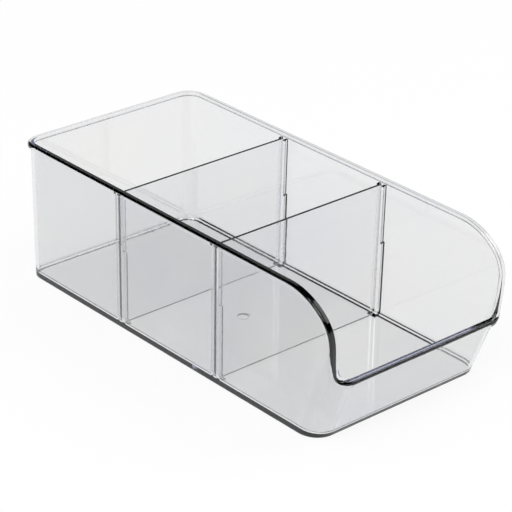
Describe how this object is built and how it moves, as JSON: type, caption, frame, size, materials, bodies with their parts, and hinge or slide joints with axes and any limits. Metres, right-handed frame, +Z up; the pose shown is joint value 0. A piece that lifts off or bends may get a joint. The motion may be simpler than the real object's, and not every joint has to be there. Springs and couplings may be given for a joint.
{
  "type": "storage bin",
  "caption": "Clear moulded stackable bin with a low scoop front, a rolled rim and lift-out dividers that split it into compartments.",
  "frame": {"origin": "middle of the bin's overall footprint, on the surface it stands on", "axes": "+X across the bin, +Y towards the rear wall (the scoop front faces -Y), +Z up"},
  "size_m": [0.126, 0.262, 0.084],
  "materials": {
    "clear_body": "polished clear moulding",
    "clear_divider": "polished clear moulding"
  },
  "bodies": {
    "bin": {"bin_body": "clear_body"},
    "rear_divider": {"rear_divider": "clear_divider"},
    "front_divider": {"front_divider": "clear_divider"}
  },
  "joints": [
    {"name": "rear_divider_lift", "type": "slide", "parent": "bin", "child": "rear_divider", "axis": [0, 0, 1], "range_m": [0, 0.087]},
    {"name": "front_divider_lift", "type": "slide", "parent": "bin", "child": "front_divider", "axis": [0, 0, 1], "range_m": [0, 0.087]}
  ]
}
